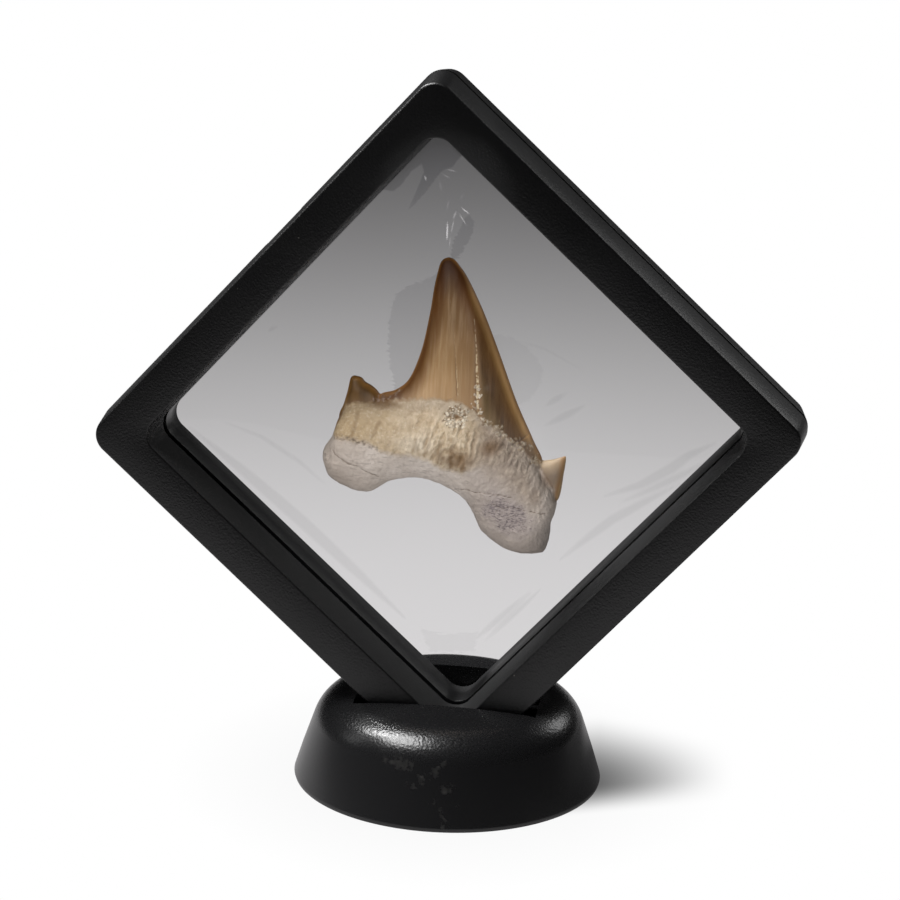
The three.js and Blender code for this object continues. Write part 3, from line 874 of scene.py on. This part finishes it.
# Materials
def moulded_abs():
    """ABS, injection moulded in a spark eroded tool: a soft black with an even fine grain,
    a little uneven in gloss, with a few specks of dust. The grain is drawn at 0.4 mm, some
    four times its real size, so that it can be seen."""
    material, add, place, at = new_material("moulded_abs_fine_grain", "wall")
    grain = add("TexNoise", Scale=2600, Detail=2, Roughness=0.5, Vector=place)
    patches = add("TexNoise", Scale=70, Detail=3, Vector=place)
    gloss = add("MapRange", patches, 0.3, 0.7, 0.36, 0.42)
    gloss = add("Math", HIGHER, gloss, add("Math", TIMES, at.wall, 0.75))
    dust = add("TexVoronoi", Scale=230, Vector=place, out="Distance")
    colour = stained(add, linear("09090a"), (dust, 0.035, 0.02, 0.35, "8a8880"))
    bump = add("Bump", Strength=0.8, Distance=0.00008, Height=grain)
    skin = add("BsdfPrincipled", Base_Color=colour, Roughness=gloss, IOR=1.5, Normal=bump)
    add("OutputMaterial", Surface=skin)
    return material


def satin_abs():
    """ABS with a satin moulded grain: black, glossier than the frame, so its shoulder takes
    a grainy sheen, with a few rubbed spots on the plainer wall. The grain is drawn at 0.3 to
    0.4 mm, coarser than it is."""
    material, add, place, _ = new_material("moulded_abs_satin_grain")
    height = add("SeparateXYZ", place, out="Z")
    shoulder = add("MapRange", height, 0.0105, 0.014, 0.12, 1)
    grain = add("TexNoise", Scale=2300, Detail=0, Vector=place)
    pimples = add("TexNoise", Scale=3200, Detail=1, Vector=place)
    worn = add("TexNoise", Scale=1000, Detail=4, Vector=place)
    bent = add("TexNoise", Scale=900, Detail=2, Vector=place, out="Color")
    bent = add("VectorMath", TIMES_PLUS, bent, [2 * WANDER] * 3, place)
    scuff = 0
    for *spot, size in SCUFFS:
        gap = add("VectorMath", APART, bent, [c * MM + WANDER for c in spot], out="Value")
        scuff = add("Math", HIGHER, scuff, add("MapRange", gap, 1.4 * size * MM, 0))
    rubbed = add("Math", TIMES, scuff, add("MapRange", worn, 0.42, 0.7))
    uneven = add("Math", TIMES, add("MapRange", pimples, 0.35, 0.65, -0.045, 0.045), shoulder)
    gloss = add("Math", PLUS, add("MapRange", rubbed, 0, 0.5, 0.265, 0.365), uneven)
    colour = stained(add, linear("1a1a1b"), (rubbed, 0, 0.8, 0.26, "6c6a66"))
    bump = add("Bump", Strength=shoulder, Distance=0.00004, Height=grain)
    skin = add("BsdfPrincipled", Base_Color=colour, Roughness=gloss, IOR=1.5, Normal=bump)
    add("OutputMaterial", Surface=skin)
    return material


def clear_film():
    """Stretched polyurethane film: clear, with grey patches painted where it lies slack and
    mirrors the dark room, creases painted darker as shade, and white streaks painted on the
    front one for its bright glints."""
    material, add, place, at = new_material(
        "stretched_polyurethane_film", "patch", "dullness", "high", "crease", "front", "lower"
    )
    level = add("Mapping", Vector=place, Scale=(0.4, 1, 1.8))
    frayed = add("TexNoise", Scale=2000, Detail=3, Vector=level)
    frayed = add("MapRange", frayed, 0.3, 0.7, -0.45, 0.45)
    fray = add("Math", TIMES, frayed, add("MapRange", at.high, 30, 38, 1, 0.2))
    # painted reflection: grey patches where the rear film mirrors the dark room, stronger higher up
    patch = add("MapRange", add("Math", PLUS, at.patch, fray), -0.12, 0.2, 0, 0.105)
    patch = add("Math", TIMES, patch, at.dullness)
    high = add("MapRange", at.high, 36, 52, 1, 2.4)
    # painted shade along the creases
    crease = add("MapRange", at.crease, -0.25, 0.35, 0, 0.05)
    # dull holds the painted reflection patches and the painted shade of the creases
    dull = add("Math", HIGHER, add("Math", TIMES, patch, high), crease)
    # painted highlight: each glint is a white streak of paint
    glint = 0
    for first, last, half, strength in GLINTS:
        ends = [STANDING @ Vector((a, 0, b)) for a, b in (first, last)]
        ahead = ends[1] - ends[0]
        inside = add("Mapping", INVERTED, Vector=place, Location=sum(ends, Vector()) / 2,
            Rotation=(0, math.atan2(-ahead.z, ahead.x), 0), Scale=(ahead.length / 2, 1, half * MM))
        gap = add("VectorMath", {"operation": "LENGTH"}, inside, out="Value")
        glint = add("Math", HIGHER, glint, add("MapRange", gap, 1, 0.2, 0, strength))
    glint = add("Math", TIMES, glint, at.front)
    haze = add("Math", PLUS, add("MapRange", at.lower, 0.4, -0.4, 0, 0.012), 0.004)
    total = add("Math", PLUS, add("Math", HIGHER, dull, glint), haze)
    tone = stained(add, linear("55555a"), (glint, 0, 0.1, 1, "f6f3f5"))
    skin = add("BsdfPrincipled", Base_Color=tone, Roughness=0.16, IOR=1.46, Alpha=total)
    add("OutputMaterial", Surface=skin)
    return material


def fossil(marks):
    """Fossil enamel over fossil dentine: glossy tan to amber brown on the crown and cusps,
    dull cream to grey on the root, with pale grit in the cracks."""
    material, add, place, at = new_material("fossil_enamel_and_dentine", *marks)

    def cloud(size, detail=3, stretch=(1, 1, 1), turn=0):
        """Noise with lumps of a size in millimetres, drawn out and turned about the depth."""
        scale = [1 / s for s in stretch]
        along = add("Mapping", INVERTED, Vector=place, Rotation=(0, turn, 0), Scale=scale)
        return add("TexNoise", Scale=1000 / size, Detail=detail, Vector=along)

    def run(source, low, high, *stops):
        """A run of colours between two values of what it follows."""
        made = add("ValToRGB", add("MapRange", source, low, high))
        stop = made.node.color_ramp.elements
        stop[0].position, stop[1].position = stops[0][0], stops[-1][0]
        stop[0].color, stop[1].color = linear(stops[0][1]), linear(stops[-1][1])
        for share, code in stops[1:-1]:
            stop.new(share).color = linear(code)
        return made

    fine = cloud(0.5, 4)
    rugged = cloud(0.9, 4)
    broad = cloud(4, 4)
    streaks = cloud(0.5, 3, (1, 0.4, 0.05))
    bands = cloud(1.8, 2, (1, 0.4, 0.09))
    ridges = cloud(0.55, 2, (1, 0.6, 0.35), math.radians(19))

    # Enamel
    # the enamel's own tan to brown by height, with painted shade: darker towards the tip, which the frame's
    # border shades
    tan = run(
        at.up, 2, 30, (0, "c8a680"), (0.23, "b28f66"), (0.36, "9d7c53"), (0.49, "90704a"),
        (0.61, "745735"), (0.74, "634623"), (0.87, "4a2f0f"), (1, "381f08"),
    )
    left_edge = add("Math", PLUS, at.rim, add("MapRange", bands, 0.3, 0.7, -0.5, 0.5))
    body = stained(
        add, tan,
        (streaks, 0.42, 0.7, 0.3, "dcc29c"),
        (bands, 0.42, 0.66, 0.35, "8a673f"),
        # painted shade: darker towards the right facet, which faces away from the light
        (at.facet, -6, -0.6, 0.68, "72512d"),
        (left_edge, 3.4, 0.7, 0.95, "5c360f"),
    )
    # the right facet: its own brown with an amber edge, painted darker as shade because it faces away from
    # the light
    facet = run(
        at.rim, 0, 6, (0.06, "dcae72"), (0.15, "97703f"), (0.23, "67451f"), (0.35, "563a1c"),
        (0.52, "4b331b"), (0.62, "5b4529"), (0.78, "6f5a3a"), (0.95, "7f6a48"),
    )
    facet = stained(
        add, facet,
        (at.up, 8, 18, 0.4, "5a3a1e"),
        (at.up, -1.6, -3.2, 0.7, "74665a"),
        (bands, 0.4, 0.7, 0.3, "69502c"),
        (streaks, 0.42, 0.7, 0.15, "a88054"),
    )
    body = add("MixRGB", add("MapRange", at.facet, -0.35, 0.5), body, facet)
    # the tip darkened further as painted shade; its rim is amber
    tip = stained(add, body, (at.up, 22.5, 28.5, 0.8, "3e1e02"), (at.rim, 0.55, 0.1, 0.6, "a9753a"))
    cusp = stained(
        add, linear("4b3314"),
        (bands, 0.35, 0.65, 1, "684a24"),
        (at.rim, 0.8, 0.15, 0.7, "9a6c32"),
        (at.enamel, 1.6, 0, 0.55, "84694b"),
    )
    crown = add("MixRGB", at.left_cusp, tip, cusp)
    right = run(at.rim, 0, 2, (0.2, "c3a57c"), (0.45, "a07a50"), (0.6, "a88560"), (0.85, "bda688"))
    inner = add("MapRange", at.rim, 0.8, 1.8, 0, 0.85)
    grey = add("Math", TIMES, add("MapRange", at.up, -6.2, -8.4), inner)
    right = stained(add, right, (bands, 0.4, 0.7, 0.5, "a48c74"), (grey, 0, 1, 1, "7d6c5d"))
    crown = add("MixRGB", at.right_cusp, crown, right)

    # Dentine: the lower part, the upper band, the right side and what lies over all of them
    lower = stained(
        add, linear("ddd2c8"),
        (broad, 0.35, 0.65, 1, "c9bdb2"),
        (rugged, 0.5, 0.72, 0.4, "a79a8f"),
        (cloud(0.5, 2, (0.3, 1, 1.5)), 0.6, 0.7, 0.45, "7f736b"),
        (at.across, -12, -19, 0.65, "b0a296"),
    )
    collar = add("Math", PLUS, at.below, add("MapRange", broad, 0.3, 0.7, -0.8, 0.8))
    # painted shade: darker in the hollows of the ridged bump
    worn = add("Math", TIMES, at.ridged, add("MapRange", ridges, 0.5, 0.35, 0, 0.45))
    upper = stained(
        add, linear("dbc9b0"),
        (broad, 0.35, 0.65, 1, "c8b294"),
        # painted highlight: lighter just above the ledge and at the pale spot
        (at.ledge, 3.2, 1, 0.35, "eddcc2"),
        (at.pale, 0.1, 0.8, 0.75, "f6e9d4"),
        (collar, 2.6, 1.2, 0.8, "c4b39e"),
        # painted shade: the band darkened towards the left, to offset the light falling on it from the left
        (at.across, -3, -17, 0.8, "b59c76"),
        (rugged, 0.45, 0.66, 0.3, "937c5c"),
        (fine, 0.52, 0.68, 0.32, "efe2cd"),
        # painted highlight on the fold crests, painted shade in the folds and in the bump's hollows
        (at.fold, 0.3, 0.75, 0.4, "efe0c6"),
        (at.fold, 0.1, -0.35, 0.45, "93795a"),
        (worn, 0, 1, 1, "8f7656"),
        (at.groove, 0.3, 1, 0.45, "7d6140"),
    )
    fray = add("MapRange", cloud(0.45, 3), 0.3, 0.7, -0.18, 0.18)
    edge = add("MapRange", add("Math", PLUS, at.ledge, fray), -0.5, 0.6)
    bone = add("MixRGB", edge, lower, upper)
    right = stained(
        add, linear("b0a090"),
        (cloud(1.2, 4), 0.35, 0.7, 1, "8f8073"),
        # painted highlight on the fold crests, painted shade in the folds and in the bump's hollows
        (at.fold, 0.15, 0.4, 0.5, "cbbba8"),
        (at.fold, 0, -0.3, 0.5, "7d6e62"),
        (worn, 0, 1, 1, "7d6e62"),
        (at.below, 6.5, 10, 1, "b0a49b"),
        # painted light: lighter at the right end, where the surface turns away from the lamps
        (at.across, 13.5, 17, 0.6, "d2c7be"),
    )
    bone = add("MixRGB", add("MapRange", at.right_part, 0, 1, 0, 0.9), bone, right)
    pores = cloud(0.3, 2, (0.55, 1, 1.2))
    pores = add("Math", PLUS, pores, add("MapRange", at.porous, 0, 1, -0.25, 0))
    # brown stains, with painted shade under the enamel's edge at two places
    brown = add("Math", PLUS, at.brown, add("MapRange", broad, 0.3, 0.7, -0.1, 0.1))
    bone = stained(
        add, bone,
        (at.porous, 0.1, 1, 0.4, "918789"),
        (pores, 0.48, 0.58, 0.65, "685e62"),
        (brown, 0.15, 0.85, 0.75, "694b29"),
        (cloud(0.32, 2), 0.68, 0.74, 0.4, "6f5d4b"),
    )

    # The line where both meet, then pits, cracks and grit
    meeting = add("Math", PLUS, at.enamel, add("MapRange", cloud(0.7, 3), 0.3, 0.7, -0.16, 0.16))
    line = add("Math", UNSIGNED, add("Math", PLUS, meeting, 0.1))
    colour = stained(
        add, add("MixRGB", add("MapRange", meeting, -0.4, 0.2), bone, crown),
        (line, 0.4, 0.05, 0.18, "80684c"),
        (at.pitted, 0.1, 0.8, 0.55, "5c4c40"),
        (at.crack, 0.3, 0.9, 0.6, "54402c"),
        (at.hollow, 0.2, 0.8, 0.7, "85623a"),
    )
    crystals = add("TexVoronoi", Scale=2400, Vector=place).node.outputs
    raised = add("MapRange", at.up, 1, 3, 0, 0.8)
    left_gap = add("Math", TIMES, add("MapRange", at.across, -7, -9), raised)
    sand = stained(
        add, linear("8f775a"),
        (crystals["Color"], 0.25, 0.7, 1, "f2e6d2"),
        (crystals["Distance"], 0.45, 0.75, 0.5, "57452f"),
        (left_gap, 0, 1, 1, "6b4a36"),
        (at.across, 6, 7.5, 0.5, "a8967c"),
    )
    colour = add("MixRGB", add("MapRange", at.matrix, 0.1, 0.8, 0, 0.85), colour, sand)
    broken = add("MapRange", cloud(0.45, 2), 0.42, 0.52)
    fading = add("MapRange", at.up, 18, 9, 0.3, 1)
    for side, half, strength in ((at.main_crack, 0.16, 0.85), (at.fine_crack, 0.05, 0.5)):
        filling = add("MapRange", add("Math", UNSIGNED, side), half + 0.12, half - 0.04, 0, strength)
        filling = add("Math", TIMES, add("Math", TIMES, filling, broken), fading)
        shadow = add("Math", UNSIGNED, add("Math", PLUS, side, half + 0.16))
        colour = stained(
            add, colour, (filling, 0, 1, 1, "dcc9a6"), (shadow, 0.16, 0.03, 0.45, "5b4228")
        )

    height = add("Math", PLUS, fine, add("Math", TIMES, at.ridged, ridges))
    coarse = add("MapRange", at.enamel, 0.1, -0.2, 0.2, 1)
    rough = add("Bump", Strength=coarse, Distance=0.00017, Height=height)
    fluted = add("Bump", Strength=0.25, Distance=0.00004, Height=streaks, Normal=rough)
    gloss = add("MapRange", at.enamel, -0.1, 0.1, 0.78, 0.48)
    skin = add("BsdfPrincipled", Base_Color=colour, Roughness=gloss, IOR=1.55, Specular_IOR_Level=0.28,
        Normal=fluted)
    add("OutputMaterial", Surface=skin)
    return material


# Stage
ROOM = 0.01  # how bright the room is in what the object mirrors
ROOM_THROUGH_FILM = 0.055  # how bright its far end is where the films show it
FLOOR_TONE = 0.685
# painted shadow on the floor, in what the object mirrors
SHADED = [  # where the floor beside the base is dark: place, inner and outer edge, tone
    ((0.085, 0.02, 0), 0.03, 0.065, 0.17),
    ((0.1, 0.06, 0), 0.045, 0.08, 0.12),
    ((0.042, 0.008, 0), 0.018, 0.034, 0.1),
]


def camera_rays(add):
    """1 for rays from the camera, and 1 for those of them that have met no film."""
    path = add("LightPath").node.outputs
    direct = add("Math", UNDER, path["Transparent Depth"], 0.5)
    return path["Is Camera Ray"], add("Math", TIMES, direct, path["Is Camera Ray"])


def studio_floor():
    """A pale floor that is white where the camera sees it, but for a painted shadow of the base. What
    the object mirrors, and what is seen through the films, is a pool of light painted on it,
    which falls off with distance as in the photograph."""
    material, add, place, _ = new_material("studio_floor")
    camera_ray, seen = camera_rays(add)
    across, depth, _ = add("SeparateXYZ", place).node.outputs
    from_base = add("VectorMath", APART, place, (0, 0, 0), out="Value")
    far = add("Math", OVER, from_base, 0.335)
    falloff = add("Math", PLUS, add("Math", TO_POWER, far, 2.6), 1)
    shaded = FLOOR_TONE
    for point, inner, outer, tone in SHADED:
        gap = add("VectorMath", APART, place, point, out="Value")
        shaded = add("Math", LOWER, shaded, add("MapRange", gap, inner, outer, tone, FLOOR_TONE))
    # painted light: the floor brighter in front of the object
    near = add("MapRange", depth, -0.28, -0.2, 0, 1.2)
    lit = add("Math", LOWER, near, add("MapRange", depth, -0.1, 0, 1.2, 1))
    bright = add("Math", OVER, add("Math", TIMES, shaded, lit), falloff)
    through = add("Math", TIMES, camera_ray, ROOM_THROUGH_FILM)
    real = add("Emission", Color=linear("fffdfe"), Strength=add("Math", HIGHER, bright, through))

    # The shadow is darkest along a line that runs off to the right, soft behind and sharp before
    behind = add("Math", MINUS, depth, add("Math", TIMES_PLUS, across, 0.42, -0.0115))
    aside = add("Math", TIMES_PLUS, depth, 0.079, across)
    soft = add("Math", OVER, behind, add("MapRange", aside, 0.0276, 0.053, 0.036, 0.016))
    gap = add("Math", HIGHER, soft, add("Math", OVER, behind, -0.0145))
    core = add("MapRange", EASED, gap, 0, 1, 1, 0)
    core = add("Math", TIMES, core, add("MapRange", across, 0, 0.015))
    shadow = add("Math", TIMES, core, add("MapRange", EASED, aside, 0.0175, 0.053, 0.7, 0))
    # painted shade: slightly darker close round the base
    contact_shade = add("MapRange", from_base, 0.0275, 0.05, 0.978, 1)
    tone = add("Math", TIMES, add("Math", MINUS, 1, shadow), contact_shade)
    shown = add("Emission", Strength=add("Math", TO_POWER, tone, 2.2))
    add("OutputMaterial", Surface=add("MixShader", seen, real, shown))
    return material


def studio_world():
    """A dark room, shown white to the camera."""
    world = bpy.data.worlds.new("studio")
    world.use_nodes = True
    world.node_tree.nodes.clear()
    add = partial(add_node, world.node_tree)
    camera_ray, seen = camera_rays(add)
    through = add("Math", TIMES_PLUS, camera_ray, ROOM_THROUGH_FILM - ROOM, ROOM)
    sky = add("Background", Color=linear("ffffff"), Strength=add("Math", HIGHER, through, seen))
    add("OutputWorld", Surface=sky)
    bpy.context.scene.world = world


def floor_piece():
    bm = bmesh.new()
    bmesh.ops.create_grid(bm, x_segments=2, y_segments=2, size=4000)
    bm.transform(METRES)
    floor = plain_object("floor", bm)
    floor.data.materials.append(studio_floor())


def aimed_lamp(name, kind, target, direction, distance, power):
    """A lamp in a direction from its target and turned to it. Gives its settings."""
    towards = Vector(direction).normalized()
    settings = bpy.data.lights.new(name, kind)
    settings.energy = power
    lamp = bpy.data.objects.new(name, settings)
    lamp.location = target + towards * distance
    lamp.rotation_mode = "QUATERNION"
    lamp.rotation_quaternion = (-towards).to_track_quat("-Z", "Y")
    bpy.context.scene.collection.objects.link(lamp)
    return settings


def area_light(name, direction, distance, size, power):
    """A soft light aimed at the middle of the object."""
    settings = aimed_lamp(name, "AREA", Vector((0, 0, 0.055)), direction, distance, power)
    settings.shape = "RECTANGLE"
    settings.size, settings.size_y = size


def snoot(name, target, direction, distance, reach, power):
    """A spot with a narrow cone that lights little more than its target."""
    settings = aimed_lamp(name, "SPOT", target, direction, distance, power)
    settings.shadow_soft_size = 0.004
    settings.spot_size = 2 * math.atan(reach / distance)
    settings.spot_blend = 0.15


def camera():
    """A 120 mm lens half a metre away, above and a little to the right, rolled 1.6 degrees."""
    data = bpy.data.cameras.new("camera")
    data.sensor_width = 36
    data.lens = 120
    data.clip_start = 0.01
    data.clip_end = 20
    right = Vector((0.9911, 0.1304, 0.0270)).normalized()
    ahead = Vector((-0.1176, 0.9526, -0.2807)).normalized()
    up = right.cross(ahead).normalized()
    right = ahead.cross(up).normalized()
    turn = Matrix((right, up, -ahead)).transposed()
    eye = bpy.data.objects.new("camera", data)
    eye.rotation_mode = "QUATERNION"
    eye.rotation_quaternion = turn.to_quaternion()
    eye.location = (0.060467, -0.498973, 0.207475)
    bpy.context.scene.collection.objects.link(eye)
    bpy.context.scene.camera = eye


bpy.context.scene.view_settings.view_transform = "Standard"
camera()
studio_world()
floor_piece()
area_light("softbox", (-0.43, 0.02, 0.9), 0.85, (0.8, 0.34), 14)
area_light("rim_light", (0.62, 0.64, 0.42), 0.8, (0.24, 0.24), 0.62)
area_light("sheen_light", (-0.60, 0.16, 0.79), 0.9, (0.26, 0.26), 5.6)
area_light("side_light", (-0.89, -0.06, 0.45), 0.9, (0.2, 0.4), 0.3)
tooth_middle = Vector((-0.0010, -0.002, 0.0655))
snoot("snoot_left", tooth_middle, (-0.45, -0.8, 0.42), 0.9, 0.0272, 7.5)
snoot("snoot_front", tooth_middle, (0.3, -0.94, 0.08), 0.9, 0.0275, 7.5)
# lights the white streaks painted for the film's glints
snoot("snoot_glints", STANDING @ Vector((0.5, 0, 38)), (0.05, -0.95, 0.3), 0.9, 0.0095, 18)

frame_black = moulded_abs()
frame_half("frame_front_half", FRONT_HALF, WINDOW_FRONT, FRONT_DEPTH, -1, frame_black)
frame_half("frame_rear_half", REAR_HALF, WINDOW_REAR, REAR_DEPTH, 1, frame_black)
base_piece(satin_abs())
tooth = tooth_piece()
film = clear_film()
film_piece("film_front", tooth, -1, film)
film_piece("film_rear", tooth, 1, film)
